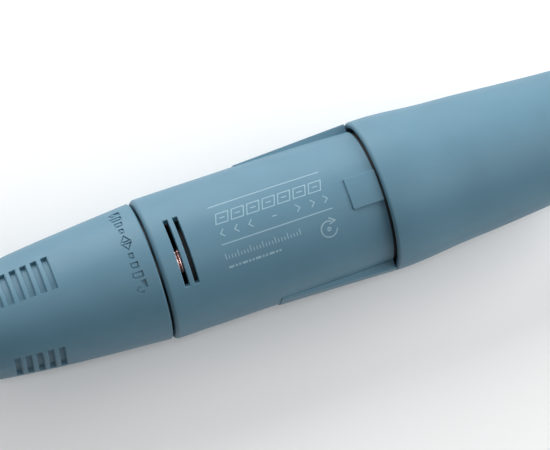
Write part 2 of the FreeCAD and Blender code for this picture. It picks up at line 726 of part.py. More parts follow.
def flange_screws():
    sockets = [hex_socket(FRONT_PLATE[1], 0.55, SCREW_ORBIT, a, 0.6) for a in SCREW_ANGLES]
    return [flange_screw(a).cut(socket) for a, socket in zip(SCREW_ANGLES, sockets)]


def hex_socket(x_rear, depth, orbit, angle, radius):
    corners = [V(x_rear, orbit + radius * math.cos(a), radius * math.sin(a)) for a in hex_angles()]
    prism = Part.Face(Part.makePolygon(corners + corners[:1])).extrude(V(-depth, 0, 0))
    return spun(prism, angle)


def hex_angles():
    return [math.radians(a) for a in around(6)]


def stator_core():
    """A laminated ring with six teeth, one of them on the printed side."""
    slot_in, slot_out = COIL_RADII[0] - 0.2, COIL_RADII[1] + 0.5
    window = ring(*CORE_X, slot_in, slot_out)
    tooth = block(*CORE_X, 0, 12, -TOOTH_WIDTH / 2, TOOTH_WIDTH / 2)
    window = cut_all(window, [spun(tooth, a) for a in around(CORE_SLOTS, CORE_START)])
    between = CORE_START + 180 / CORE_SLOTS
    mouths = [spun(block(*CORE_X, 4, 7, -0.5, 0.5), a) for a in around(CORE_SLOTS, between)]
    return cut_all(ring(*CORE_X, CORE_BORE_R, CORE_R), [window] + mouths)


def stator_coils():
    """One coil round each tooth, past both faces of the core, with its link wires in a bundle over its front end."""
    inner_half = TOOTH_WIDTH / 2 + 0.1
    coils = []
    for angle in around(CORE_SLOTS, CORE_START):
        coil = block(*COIL_X, *COIL_RADII, -COIL_HALF, COIL_HALF)
        upright = [e for e in coil.Edges if abs(e.tangentAt(e.FirstParameter).y) > 0.9]
        coil = coil.makeFillet(1.6, upright)
        window = block(CORE_X[0] - 0.3, CORE_X[1] + 0.3, 5, 12, -inner_half, inner_half)
        links = sector(*LINK_X, COIL_RADII[1] - 0.2, LINK_R, -LINK_SPAN / 2, LINK_SPAN)
        coils.append(spun(coil.cut(window).fuse(links), angle))
    return coils


def stator_insulators():
    """The winding's end insulators: a ring round the coils' ends on each face of the core."""
    inner_r = COIL_RADII[1] + 0.6
    outer_r = CORE_R - 0.4
    front = ring(CORE_X[0] - INSULATOR_WIDTH, CORE_X[0], inner_r, outer_r)
    rear = ring(CORE_X[1], CORE_X[1] + INSULATOR_WIDTH, inner_r, outer_r)
    return [front, rear]


def rear_plate():
    hub_r = 6.0
    seat_r = MOTOR_BEARING[1]
    seat_end = MOTOR_REAR_BEARING + MOTOR_BEARING[2] + 0.5
    outline = [(MOTOR_REAR_BEARING, seat_r), (MOTOR_REAR_BEARING, hub_r), (REAR_PLATE[0], hub_r)]
    outline += [(REAR_PLATE[0], SEAT_R), (REAR_PLATE[1], SEAT_R), (REAR_PLATE[1], hub_r)]
    outline += [(seat_end + 0.7, hub_r), (seat_end + 0.7, 3.3), (seat_end, 3.3), (seat_end, seat_r)]
    vents = [axial_pin(*REAR_PLATE, 8.8, a, 1.3) for a in around(6, 30)]
    lead_holes = [axial_pin(*REAR_PLATE, LEAD_ORBIT, a, LEAD_R) for a in around(3)]
    return cut_all(turned_polygon(outline), vents + lead_holes)


def cooling_fan():
    middle = (FAN_X[0] + FAN_X[1]) / 2
    hub = ring(*FAN_X, SHAFT_R, 3.8)
    blades = []
    for angle in around(FAN_BLADES):
        blade = block(-1.9, 1.9, 3.2, FAN_R + 2, -0.3, 0.3)
        blade.rotate(ORIGIN, V(0, 1, 0), 38)
        blade.translate(V(middle, 0, 0))
        blades.append(spun(blade, angle))
    swept = ring(*FAN_X, 3.0, FAN_R)
    return hub.multiFuse([blade.common(swept) for blade in blades])


def sensor_board():
    screw_holes = [axial_pin(*BOARD_X, 9.6, a, 0.7) for a in SCREW_ANGLES]
    lead_holes = [axial_pin(*BOARD_X, LEAD_ORBIT, a, LEAD_R + 0.3) for a in around(3)]
    return cut_all(ring(*BOARD_X, 4.2, BOARD_R), screw_holes + lead_holes)


def hall_sensors():
    chip = block(BOARD_X[0] - 1.2, BOARD_X[0], 4.4, 6.2, -1.5, 1.5)
    return [spun(chip, a) for a in around(3, 60)]


def board_screws():
    screws = []
    for angle in SCREW_ANGLES:
        head = axial_pin(BOARD_X[0] - 0.7, BOARD_X[0], 9.6, angle, 1.2)
        shank = axial_pin(BOARD_X[0], 105.0, 9.6, angle, 0.7)
        screws.append(head.fuse(shank))
    return screws


def phase_leads():
    return [axial_pin(REAR_PLATE[0] + 0.1, BOARD_X[1], LEAD_ORBIT, a, LEAD_R) for a in around(3)]


# Rear end.


def rear_carrier():
    bore_front_r = 8.6
    bevel = 0.4
    outline = [(BOARD_X[1], bore_front_r), (BOARD_X[1], COLLAR_BORE_R), (COLLAR_FRONT, COLLAR_BORE_R)]
    outline += [(COLLAR_FRONT, SEAT_R), (BODY_REAR, SEAT_R), (BODY_REAR, COLLAR_R), (SLEEVE_SEAT, COLLAR_R)]
    outline += [(SLEEVE_SEAT, CARRIER_SEAT_R), (CARRIER_STEP, CARRIER_SEAT_R), (CARRIER_STEP, TAIL_R + 0.6)]
    outline += [(112.0, TAIL_R), (SLEEVE_NUT_X[1], TAIL_R), (SLEEVE_NUT_X[1], SPIGOT_R)]
    outline += [(TAIL_REAR - bevel, SPIGOT_R), (TAIL_REAR, SPIGOT_R - bevel), (TAIL_REAR, SOCKET_BORE_R)]
    outline += [(INSULATOR_X[1], SOCKET_BORE_R), (INSULATOR_X[1], INSULATOR_R)]
    outline += [(106.5, INSULATOR_R), (106.5, bore_front_r)]
    screw_holes = [axial_pin(BOARD_X[1], 105.0, 9.6, a, 0.7) for a in SCREW_ANGLES]
    return cut_all(turned_polygon(outline), screw_holes)


def contact_sockets():
    contacts = []
    for angle in around(CONTACT_COUNT, 45):
        outer = axial_pin(129.0, INSULATOR_X[1] - 0.4, CONTACT_ORBIT, angle, CONTACT_R)
        contacts.append(outer.cut(axial_pin(134.0, INSULATOR_X[1], CONTACT_ORBIT, angle, 0.5)))
    return contacts


def socket_insulator():
    holes = [axial_pin(*INSULATOR_X, CONTACT_ORBIT, a, CONTACT_R) for a in around(CONTACT_COUNT, 45)]
    return cut_all(ring(*INSULATOR_X, 0, INSULATOR_R), holes)


def lead_wires():
    """One lead from the board to each contact: straight, then a slant, then straight, joined by arcs."""
    radius = 0.45
    start, bend_a = (BOARD_X[1], 5.3), (110.0, 5.3)
    bend_b, end = (122.0, CONTACT_ORBIT), (129.0, CONTACT_ORBIT)
    slope = math.atan2(bend_a[1] - bend_b[1], bend_b[0] - bend_a[0])
    tangent = 2.5
    a0 = (bend_a[0] - tangent, bend_a[1])
    a1 = (bend_a[0] + tangent * math.cos(slope), bend_a[1] - tangent * math.sin(slope))
    b0 = (bend_b[0] - tangent * math.cos(slope), bend_b[1] + tangent * math.sin(slope))
    b1 = (bend_b[0] + tangent, bend_b[1])
    sag = tangent * math.sin(slope) / 4
    a_mid = ((a0[0] + a1[0]) / 2, (a0[1] + a1[1]) / 2 + sag)
    b_mid = ((b0[0] + b1[0]) / 2, (b0[1] + b1[1]) / 2 - sag)
    runs = [line(start, a0), arc(a0, a_mid, a1), line(a1, b0), arc(b0, b_mid, b1), line(b1, end)]
    path = Part.Wire(runs)
    section = Part.Wire(Part.makeCircle(radius, at(*start), AXIS))
    wire = path.makePipeShell([section], True, False)
    return [spun(wire, a - 90) for a in around(CONTACT_COUNT, 45)]


def sleeve_nut():
    bevel = 0.5
    front, rear = SLEEVE_NUT_X
    outline = [(front, TAIL_R), (front, SLEEVE_NUT_R), (rear - bevel, SLEEVE_NUT_R)]
    outline += [(rear, SLEEVE_NUT_R - bevel), (rear, TAIL_R)]
    notches = [axial_pin(*SLEEVE_NUT_X, SLEEVE_NUT_R + 0.5, a, 0.8) for a in around(20)]
    return cut_all(turned_polygon(outline), notches)


def save(name, shape):
    """Writes one sub-part, which is a solid or a list of separate solids."""
    if isinstance(shape, list):
        shape = Part.makeCompound(shape)
    if not shape.isValid():
        raise ValueError(f"{name} isn't a valid shape")
    shape.exportStep(os.path.join("parts", name + ".step"))


def spindle_parts():
    width = SPINDLE_BEARING[2]
    spacer = (SPINDLE_BEARINGS[0] + width, SPINDLE_BEARINGS[1])
    save("spindle", spindle())
    save("spindle_inner_races", [inner_race(x, SPINDLE_BEARING) for x in SPINDLE_BEARINGS])
    save("spindle_outer_races", [outer_race(x, SPINDLE_BEARING) for x in SPINDLE_BEARINGS])
    save("spindle_balls", [ball for x in SPINDLE_BEARINGS for ball in balls(x, SPINDLE_BEARING)])
    save("spindle_cages", [cage(x, SPINDLE_BEARING) for x in SPINDLE_BEARINGS])
    save("inner_spacer", ring(*spacer, SPINDLE_R, 4.0))
    save("outer_spacer", ring(*spacer, 5.0, SPINDLE_BEARING[1]))
    save("spindle_nut", spindle_nut())
    save("spindle_clip", clip_ring(CLIP_X, SPINDLE_R - 0.3, 4.2, 3.0))
    save("disc_springs", disc_springs())
    save("driven_coupling", driven_coupling())
    save("collet", collet())
    save("drawbar", drawbar())
    save("cross_pin", cross_pin())
    save("thrust_ring", thrust_ring())


def housing_parts():
    save("nose_cap", nose_cap())
    save("front_dust_seal", dust_seal())
    save("slide_washer", ring(CAP_REAR, CAP_REAR + 0.3, HOUSING_NECK_R, 9.7))
    save("spindle_housing", spindle_housing())
    save("housing_o_ring", torus(O_RING_X, 8.27, 0.36))
    save("rear_bearing_carrier", bearing_carrier())
    save("bearing_circlip", clip_ring(CIRCLIP_X, 6.5, 8.0, 4.0))
    spring_x = SPINDLE_BEARINGS[2] + SPINDLE_BEARING[2] + 0.03
    save("spindle_preload_spring", disc(spring_x, 5.15, 5.95, 0.22, 0.3, False))
    save("stop_pin", stop_pin())
    save("twist_shell", twist_shell())
    save("cam_sleeve", cam_sleeve())
    save("cam_keys", [spun(key_block(), a) for a in (0, 180)])
    save("pusher_ring", pusher_ring())
    save("cam_pins", cam_pins())


def motor_parts():
    bearings = [MOTOR_FRONT_BEARING, MOTOR_REAR_BEARING]
    spring_x = MOTOR_REAR_BEARING + MOTOR_BEARING[2] + 0.03
    save("motor_front_flange", front_plate())
    save("flange_screws", flange_screws())
    save("stator_core", stator_core())
    save("stator_insulators", stator_insulators())
    save("stator_coils", stator_coils())
    save("motor_tube", ring(CORE_X[0], REAR_PLATE[0], CORE_R, SEAT_R))
    save("motor_outer_races", [outer_race(x, MOTOR_BEARING) for x in bearings])
    save("motor_inner_races", [inner_race(x, MOTOR_BEARING) for x in bearings])
    save("motor_balls", [ball for x in bearings for ball in balls(x, MOTOR_BEARING)])
    save("motor_cages", [cage(x, MOTOR_BEARING) for x in bearings])
    save("motor_preload_spring", disc(spring_x, 3.6, 4.4, 0.18, 0.25, False))
    save("motor_rear_flange", rear_plate())
    save("rotor_shaft", ring(*SHAFT_X, 0, SHAFT_R))
    save("rotor_magnet", ring(*MAGNET_X, SHAFT_R, MAGNET_R))
    save("rotor_sleeve", ring(*MAGNET_X, MAGNET_R, ROTOR_R))
    save("balance_rings", [ring(60.8, MAGNET_X[0], SHAFT_R, 3.9), ring(MAGNET_X[1], 89.5, SHAFT_R, 4.2)])
    save("driving_coupling", driving_coupling())
    save("cooling_fan", cooling_fan())
    save("sensor_magnet", ring(*SENSOR_MAGNET_X, SHAFT_R, 3.4))
    save("sensor_board", sensor_board())
    save("hall_sensors", hall_sensors())
    save("board_screws", board_screws())
    save("phase_leads", phase_leads())


def rear_parts():
    save("body_shell", body_shell())
    save("rear_sleeve", rear_sleeve())
    save("rear_carrier", rear_carrier())
    save("socket_insulator", socket_insulator())
    save("contact_sockets", contact_sockets())
    save("lead_wires", lead_wires())
    save("sleeve_nut", sleeve_nut())
    save("rear_o_ring", torus(SLEEVE_REAR - 2.5, TAIL_R + 0.5, 0.5))


os.makedirs("parts", exist_ok=True)
spindle_parts()
housing_parts()
motor_parts()
rear_parts()
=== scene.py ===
import json
import math

import bmesh
import bpy
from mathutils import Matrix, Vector
from mathutils.bvhtree import BVHTree


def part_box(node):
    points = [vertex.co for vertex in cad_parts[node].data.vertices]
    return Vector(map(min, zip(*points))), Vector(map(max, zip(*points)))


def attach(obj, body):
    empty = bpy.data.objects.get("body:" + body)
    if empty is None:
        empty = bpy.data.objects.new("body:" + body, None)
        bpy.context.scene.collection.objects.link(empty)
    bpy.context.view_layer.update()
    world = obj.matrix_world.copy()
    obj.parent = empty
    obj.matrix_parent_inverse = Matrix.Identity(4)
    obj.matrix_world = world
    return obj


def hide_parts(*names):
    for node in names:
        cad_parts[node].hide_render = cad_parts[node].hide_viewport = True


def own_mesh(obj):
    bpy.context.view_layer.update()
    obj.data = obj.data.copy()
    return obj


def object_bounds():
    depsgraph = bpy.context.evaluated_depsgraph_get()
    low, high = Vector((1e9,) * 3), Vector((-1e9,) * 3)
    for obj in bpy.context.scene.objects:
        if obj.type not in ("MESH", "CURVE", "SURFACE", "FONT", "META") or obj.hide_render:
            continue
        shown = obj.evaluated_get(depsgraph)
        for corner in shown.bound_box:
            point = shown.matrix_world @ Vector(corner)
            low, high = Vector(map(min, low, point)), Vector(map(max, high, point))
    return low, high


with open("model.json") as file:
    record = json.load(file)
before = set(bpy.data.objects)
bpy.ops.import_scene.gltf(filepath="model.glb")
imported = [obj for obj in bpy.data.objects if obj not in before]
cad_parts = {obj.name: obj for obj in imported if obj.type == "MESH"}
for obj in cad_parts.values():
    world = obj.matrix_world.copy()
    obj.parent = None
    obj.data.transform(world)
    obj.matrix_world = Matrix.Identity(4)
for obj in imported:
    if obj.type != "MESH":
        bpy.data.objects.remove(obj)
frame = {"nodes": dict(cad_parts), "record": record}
CAD_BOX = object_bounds()

# X runs along the spindle from the nose to the cord, and Z is the printed side. Camera, lights, floor and
# materials are in metres. Print, coils and link wires are drawn in mm, and MM turns those into metres.
MM = 0.001
X_AXIS = Vector((1, 0, 0))
VIEW_CENTRE = Vector((0.080, 0, 0))

# Where the camera stands.
CAMERA_TILT = math.radians(9.4)
CAMERA_ROLL = math.radians(18.58)
PRINT_TURN = math.radians(7.3)
CAMERA_DISTANCE = 0.475
CAMERA_OFFSET = 0.00071
CAMERA_LENS = 162.3
SENSOR_WIDTH = 36

# The studio.
LAMP_DISTANCE = 0.8
ROOM_LIGHT = 0.08
ROOM_COLOUR = (0.96, 0.98, 1.0, 1)
WALL_COLOUR = (0.90, 0.91, 0.92, 1)
FLOOR_HALF_SIZE = 3.0
FLOOR_GAP = 0.0001

# The printed panel on the body. Angles are from +Z towards +Y, in degrees.
PANEL_X = (67.0, 89.1)
INK_LINE = 0.2
INK_LIFT = 0.025
RULE_ANGLES = (26.2, -6.0)
BAR_COUNT = 7
BAR_ANGLE = 14.65
BAR_HALF_HEIGHT = 0.98
BAR_SLANT = 0.32
CHEVRON_ANGLE = 2.65
CHEVRON_SIZE = 0.72
CHEVRONS_FORWARD = (67.9, 70.7, 73.5)
CHEVRONS_BACK = (82.9, 85.8, 88.4)
DASH_BETWEEN = 78.2
TICK_COUNT = 25
TICK_ANGLE = -15.5
TICK_LINE = 0.17
SCALE_END = 81.8
DASH_COUNT = 12
DASH_ANGLE = -24.3
DASH_LINE = 0.42
SIGN_PLACE = (87.3, -21.0)
SIGN_R = 1.55
SIGN_START = 60
SIGN_LINE = 0.26

# The stator's coils: each is a stack of layers, and a layer has a turn in each column.
WIRE_R = 0.25
COIL_LAYERS = [6.77, 7.26, 7.75, 8.24, 8.73, 9.22]
COIL_COLUMNS = [1.66, 2.16, 2.64]
COIL_WINDOW = (61.4, 87.3)
COIL_ANGLES = [38, 98, 158, 218, 278, 338]

# The link wires over each coil's front end.
LINK_COLUMNS = 3
LINK_LAYERS = [11.42, 10.93, 10.44, 9.95]
LINK_ROOT = 9.3
LINK_HALF_SPAN = 10.4
LINK_STEPS = 6

TUBE_SIDES = 8


# Camera, lights and floor.


def camera_axes():
    """The directions to the camera, to the picture's right, to its top, and across the handpiece."""
    look = Vector(
        (
            -math.sin(CAMERA_TILT),
            -math.cos(CAMERA_TILT) * math.sin(PRINT_TURN),
            math.cos(CAMERA_TILT) * math.cos(PRINT_TURN),
        )
    )
    along = (X_AXIS - X_AXIS.dot(look) * look).normalized()
    across = look.cross(along)
    right = math.cos(CAMERA_ROLL) * along - math.sin(CAMERA_ROLL) * across
    top = math.sin(CAMERA_ROLL) * along + math.cos(CAMERA_ROLL) * across
    return look, right, top, across


def make_camera():
    """The camera looks at the middle of the view from the printed side, a little from the nose."""
    look, right, top, across = camera_axes()
    data = bpy.data.cameras.new("Camera")
    data.lens = CAMERA_LENS
    data.sensor_width = SENSOR_WIDTH
    data.sensor_fit = "HORIZONTAL"
    data.clip_start = 0.01
    data.clip_end = 20
    camera = bpy.data.objects.new("Camera", data)
    bpy.context.scene.collection.objects.link(camera)
    camera.location = VIEW_CENTRE + CAMERA_OFFSET * across + CAMERA_DISTANCE * look
    camera.rotation_mode = "QUATERNION"
    columns = [right, top, look]
    turn = camera.matrix_world.to_3x3()
    for row in range(3):
        for column in range(3):
            turn[row][column] = columns[column][row]
    camera.rotation_quaternion = turn.to_quaternion()
    bpy.context.scene.camera = camera


def soft_box(name, direction, size, power):
    """A square studio lamp that faces the middle of the view."""
    data = bpy.data.lights.new(name, "AREA")
    data.shape = "SQUARE"
    data.size = size
    data.energy = power
    lamp = bpy.data.objects.new(name, data)
    bpy.context.scene.collection.objects.link(lamp)
    toward = Vector(direction).normalized()
    lamp.location = VIEW_CENTRE + LAMP_DISTANCE * toward
    lamp.rotation_mode = "QUATERNION"
    lamp.rotation_quaternion = toward.to_track_quat("Z", "Y")


def light_studio():
    soft_box("right_box", (0.885, -0.02, 0.43), 0.9, 10.2)
    soft_box("upper_box", (-0.10, 0.88, 0.36), 0.8, 8.7)
    soft_box("top_box", (-0.10, -0.09, 0.99), 0.12, 0.9)
    make_surroundings()
    bpy.context.scene.view_settings.view_transform = "Standard"


def make_surroundings():
    """A dim room, so that gaps stay dark, behind which the wall looks pale."""
    world = bpy.data.worlds.new("Studio")
    world.use_nodes = True
    tree = world.node_tree
    room = tree.nodes["Background"]
    room.inputs["Color"].default_value = ROOM_COLOUR
    room.inputs["Strength"].default_value = ROOM_LIGHT
    wall = tree.nodes.new("ShaderNodeBackground")
    wall.inputs["Color"].default_value = WALL_COLOUR
    seen = tree.nodes.new("ShaderNodeLightPath")
    mix = tree.nodes.new("ShaderNodeMixShader")
    tree.links.new(seen.outputs["Is Camera Ray"], mix.inputs[0])
    tree.links.new(room.outputs[0], mix.inputs[1])
    tree.links.new(wall.outputs[0], mix.inputs[2])
    tree.links.new(mix.outputs[0], tree.nodes["World Output"].inputs["Surface"])
    bpy.context.scene.world = world


def make_floor():
    """A plain pale floor just under the handpiece."""
    mesh = bpy.data.meshes.new("floor")
    build = bmesh.new()
    bmesh.ops.create_grid(build, x_segments=4, y_segments=4, size=FLOOR_HALF_SIZE)
    build.to_mesh(mesh)
    build.free()
    floor = bpy.data.objects.new("floor", mesh)
    bpy.context.scene.collection.objects.link(floor)
    floor.location = (VIEW_CENTRE.x, 0, CAD_BOX[0].z - FLOOR_GAP)
    look = new_look("floor_white", (0.93, 0.93, 0.93), roughness=0.7)
    look.vary_colour(look.noise(6, 2), 0.985, 1.0)
    floor.data.materials.append(look.material)


# Materials.


class Look:
    """A node material with short ways to vary its colour, gloss and relief."""

    def __init__(self, name, colour, metallic, roughness):
        self.material = bpy.data.materials.new(name)
        self.material.use_nodes = True
        self.tree = self.material.node_tree
        self.shader = self.tree.nodes["Principled BSDF"]
        self.colour = colour
        self.shader.inputs["Base Color"].default_value = (*colour, 1)
        self.shader.inputs["Metallic"].default_value = metallic
        self.shader.inputs["Roughness"].default_value = roughness
        self.place = self.add("ShaderNodeTexCoord").outputs["Object"]

    def add(self, kind):
        return self.tree.nodes.new(kind)

    def link(self, output, target):
        self.tree.links.new(output, target)

    def set(self, **values):
        for name, value in values.items():
            self.shader.inputs[name.replace("_", " ")].default_value = value

    def stretched(self, scale):
        """Object coordinates, scaled by a different amount along each axis."""
        mapping = self.add("ShaderNodeMapping")
        mapping.inputs["Scale"].default_value = scale
        self.link(self.place, mapping.inputs["Vector"])
        return mapping.outputs["Vector"]

    def split(self):
        """The x, y and z of object coordinates."""
        node = self.add("ShaderNodeSeparateXYZ")
        self.link(self.place, node.inputs[0])
        return node.outputs

    def noise(self, scale, detail, place=None):
        node = self.add("ShaderNodeTexNoise")
        node.inputs["Scale"].default_value = scale
        node.inputs["Detail"].default_value = detail
        self.link(place or self.place, node.inputs["Vector"])
        return node.outputs["Fac"]

    def bands(self, pitch, axis="X", distortion=0.0):
        """Stripes across an axis, whose pitch is in metres."""
        node = self.add("ShaderNodeTexWave")
        node.wave_type = "BANDS"
        node.bands_direction = axis
        node.inputs["Scale"].default_value = math.pi / (10 * pitch)
        node.inputs["Distortion"].default_value = distortion
        node.inputs["Detail"].default_value = 1
        self.link(self.place, node.inputs["Vector"])
        return node.outputs["Fac"]

    def maths(self, operation, a, b):
        node = self.add("ShaderNodeMath")
        node.operation = operation
        for socket, value in zip(node.inputs, (a, b)):
            if isinstance(value, (int, float)):
                socket.default_value = value
            else:
                self.link(value, socket)
        return node.outputs[0]

    def span(self, value, low, high, start=0.3, end=0.7):
        """Turns start to end of a value into low to high."""
        node = self.add("ShaderNodeMapRange")
        node.inputs["From Min"].default_value = start
        node.inputs["From Max"].default_value = end
        node.inputs["To Min"].default_value = low
        node.inputs["To Max"].default_value = high
        self.link(value, node.inputs["Value"])
        return node.outputs["Result"]

    def mixed(self, factor, a, b):
        """A colour between a and b. Each is a triple or another node's colour."""
        node = self.add("ShaderNodeMix")
        node.data_type = "RGBA"
        self.link(factor, node.inputs[0])
        for socket, value in ((node.inputs[6], a), (node.inputs[7], b)):
            if isinstance(value, tuple):
                socket.default_value = (*value, 1)
            else:
                self.link(value, socket)
        return node.outputs[2]

    def shade(self, factor):
        """The material's own colour times a factor."""
        return tuple(min(1.0, part * factor) for part in self.colour)

    def vary_colour(self, value, low, high):
        """Lightens and darkens the colour between two factors, and returns the result."""
        result = self.mixed(self.span(value, 0, 1), self.shade(low), self.shade(high))
        self.paint(result)
        return result

    def paint(self, colour):
        self.link(colour, self.shader.inputs["Base Color"])

    def vary_roughness(self, value, low, high):
        self.link(self.span(value, low, high), self.shader.inputs["Roughness"])

    def relief(self, height, strength, depth, below=None):
        """Adds a bump whose depth is in metres, over an earlier one where below is given."""
        node = self.add("ShaderNodeBump")
        node.inputs["Strength"].default_value = strength
        node.inputs["Distance"].default_value = depth
        self.link(height, node.inputs["Height"])
        if below:
            self.link(below, node.inputs["Normal"])
        self.link(node.outputs["Normal"], self.shader.inputs["Normal"])
        return node.outputs["Normal"]

    def softened(self, radius):
        """Rounds every sharp edge a little, so that it catches the light."""
        node = self.add("ShaderNodeBevel")
        node.samples = 4
        node.inputs["Radius"].default_value = radius
        self.link(node.outputs["Normal"], self.shader.inputs["Normal"])
        return node.outputs["Normal"]

    def edge_wear_and_highlight(self, radius, amount):
        """0 on open faces, rising to amount along sharp edges: where handling has rubbed them, and on the
        shell, where it paints a highlight.
        """
        bevel = self.add("ShaderNodeBevel")
        bevel.samples = 4
        bevel.inputs["Radius"].default_value = radius
        plain = self.add("ShaderNodeNewGeometry").outputs["Normal"]
        dot = self.add("ShaderNodeVectorMath")
        dot.operation = "DOT_PRODUCT"
        self.link(bevel.outputs["Normal"], dot.inputs[0])
        self.link(plain, dot.inputs[1])
        return self.span(dot.outputs["Value"], amount, 0.0, 0.75, 0.98)


def new_look(name, colour, metallic=0.0, roughness=0.5):
    return Look(name, colour, metallic, roughness)


def turned_metal(name, colour, roughness, pitch=0.00009, depth=0.000004):
    """Metal turned on a lathe: fine rings round the axis, with streaks that follow them."""
    look = new_look(name, colour, 1.0, roughness)
    rings = look.bands(pitch, distortion=0.4)
    streaks = look.noise(900, 3, look.stretched((9, 0.4, 0.4)))
    look.vary_colour(streaks, 0.88, 1.06)
    look.vary_roughness(streaks, roughness * 0.8, roughness * 1.3)
    look.relief(rings, 0.35, depth, look.softened(0.00006))
    look.set(Anisotropic=0.35)
    return look


def ground_metal(name, colour, roughness):
    """Ground steel: short fine scratches and faint clouding."""
    look = new_look(name, colour, 1.0, roughness)
    scratches = look.noise(2600, 4, look.stretched((1, 0.15, 0.15)))
    clouds = look.noise(260, 2)
    look.vary_colour(clouds, 0.9, 1.05)
    look.vary_roughness(scratches, roughness * 0.7, roughness * 1.4)
    look.relief(scratches, 0.15, 0.000003, look.softened(0.00005))
    return look


def shell_plastic():
    """Blue-grey moulding with a fine spark-eroded grain, and its sharp edges painted paler as a highlight."""
    look = new_look("shell_plastic", (0.090, 0.202, 0.276), 0.0, 0.55)
    grain = look.noise(4800, 3)
    blotches = look.noise(150, 2)
    flow = look.noise(420, 3, look.stretched((0.25, 1, 1)))
    base = look.mixed(look.span(blotches, 0, 1), look.shade(0.965), look.shade(1.03))
    base = look.mixed(look.span(flow, 0, 0.25), base, look.shade(0.94))
    # Sharp edges painted 1.6 times paler: a painted highlight, standing in for the light that they catch.
    base = look.mixed(look.edge_wear_and_highlight(0.00022, 0.35), base, look.shade(1.6))
    look.paint(base)
    mottle = look.maths("MULTIPLY", look.maths("ADD", grain, flow), 0.5)
    look.vary_roughness(mottle, 0.50, 0.60)
    look.relief(grain, 0.10, 0.00002, look.softened(0.00008))
    return look


def nose_metal():
    """Bead-blasted and anodised aluminium: a fine even grain over faint turning rings."""
    look = new_look("nose_metal", (0.50, 0.545, 0.57), 1.0, 0.36)
    grain = look.noise(7000, 2)
    clouds = look.noise(240, 2)
    wear = look.edge_wear_and_highlight(0.00025, 0.6)
    base = look.mixed(look.span(clouds, 0, 1), look.shade(0.95), look.shade(1.04))
    look.paint(look.mixed(wear, base, (0.80, 0.81, 0.82)))
    look.vary_roughness(grain, 0.32, 0.42)
    rings = look.relief(look.bands(0.00016), 0.12, 0.000004, look.softened(0.0001))
    look.relief(grain, 0.16, 0.000012, rings)
    return look


def housing_metal():
    """Dark anodised aluminium, turned."""
    look = turned_metal("housing_metal", (0.045, 0.048, 0.052), 0.38)
    look.set(Specular_IOR_Level=0.4)
    return look


def nut_metal():
    return turned_metal("nut_metal", (0.46, 0.50, 0.53), 0.30, 0.00014)


def hard_steel():
    return ground_metal("hard_steel", (0.66, 0.67, 0.69), 0.24)


def bearing_steel():
    """Lapped bearing steel, nearly a mirror."""
    look = new_look("bearing_steel", (0.74, 0.75, 0.77), 1.0, 0.09)
    haze = look.noise(900, 3)
    look.vary_roughness(haze, 0.06, 0.14)
    look.vary_colour(look.noise(300, 2), 0.93, 1.03)
    look.softened(0.00004)
    return look


def spring_steel():
    """Tempered steel, with the straw and blue of its heat treatment."""
    look = new_look("spring_steel", (0.20, 0.22, 0.28), 1.0, 0.27)
    heat = look.noise(420, 2)
    look.paint(look.mixed(look.span(heat, 0, 1), (0.16, 0.19, 0.29), (0.34, 0.27, 0.19)))
    look.vary_roughness(look.noise(3000, 3), 0.2, 0.34)
    look.softened(0.00004)
    return look


def fastener_steel():
    """Blackened screws, with bright metal where the driver and the edges have rubbed."""
    look = new_look("fastener_steel", (0.035, 0.036, 0.04), 0.9, 0.38)
    wear = look.edge_wear_and_highlight(0.00012, 0.7)
    patches = look.noise(1400, 3)
    rubbed = look.maths("MULTIPLY", wear, patches)
    look.paint(look.mixed(rubbed, (0.035, 0.036, 0.04), (0.42, 0.42, 0.44)))
    look.vary_roughness(patches, 0.3, 0.5)
    look.softened(0.00005)
    return look


def brass():
    return turned_metal("brass", (0.72, 0.50, 0.20), 0.24, 0.00012)


def cage_plastic():
    """Cotton-filled phenolic: brown, with pale threads crossing in it."""
    look = new_look("cage_plastic", (0.22, 0.10, 0.04), 0.0, 0.48)
    warp = look.noise(1700, 2, look.stretched((1, 0.12, 0.12)))
    weft = look.noise(1700, 2, look.stretched((0.12, 1, 1)))
    thread = look.maths("MAXIMUM", warp, weft)
    look.paint(look.mixed(look.span(thread, 0, 1, 0.5, 0.8), (0.17, 0.075, 0.03), (0.42, 0.24, 0.10)))
    look.relief(thread, 0.15, 0.00001, look.softened(0.00005))
    return look


def seal_rubber():
    look = new_look("seal_rubber", (0.022, 0.022, 0.024), 0.0, 0.68)
    grain = look.noise(3600, 3)
    dust = look.noise(500, 4)
    look.vary_colour(dust, 0.8, 1.7)
    look.vary_roughness(grain, 0.58, 0.8)
    look.relief(grain, 0.2, 0.00001)
    look.set(Sheen_Weight=0.15)
    return look


def slide_plastic():
    """Smooth white acetal."""
    look = new_look("slide_plastic", (0.82, 0.82, 0.79), 0.0, 0.3)
    look.vary_colour(look.noise(300, 2), 0.96, 1.02)
    look.vary_roughness(look.noise(1500, 2), 0.26, 0.36)
    look.set(Subsurface_Weight=0.05, Subsurface_Scale=0.0005)
    return look


def lamination_steel():
    """A stack of thin sheets: dark lines every third of a millimetre, and a varnish over them."""
    look = new_look("lamination_steel", (0.26, 0.27, 0.29), 0.85, 0.38)
    sheets = look.bands(0.00035)
    rust = look.noise(700, 3)
    base = look.mixed(look.span(sheets, 0, 1, 0.1, 0.4), (0.07, 0.07, 0.08), (0.30, 0.31, 0.33))
    look.paint(look.mixed(look.span(rust, 0, 0.2, 0.55, 0.75), base, (0.22, 0.13, 0.08)))
    look.relief(sheets, 0.5, 0.00002)
    look.set(Coat_Weight=0.25)
    return look


def winding_copper():
    """Enamelled copper wire, with the varnish thicker in places."""
    look = new_look("winding_copper", (0.96, 0.66, 0.62), 1.0, 0.28)
    varnish = look.noise(800, 3)
    look.paint(look.mixed(look.span(varnish, 0, 1), (0.97, 0.71, 0.68), (0.86, 0.48, 0.42)))
    look.vary_roughness(varnish, 0.22, 0.36)
    look.set(Coat_Weight=0.5, Coat_Roughness=0.15)
    return look


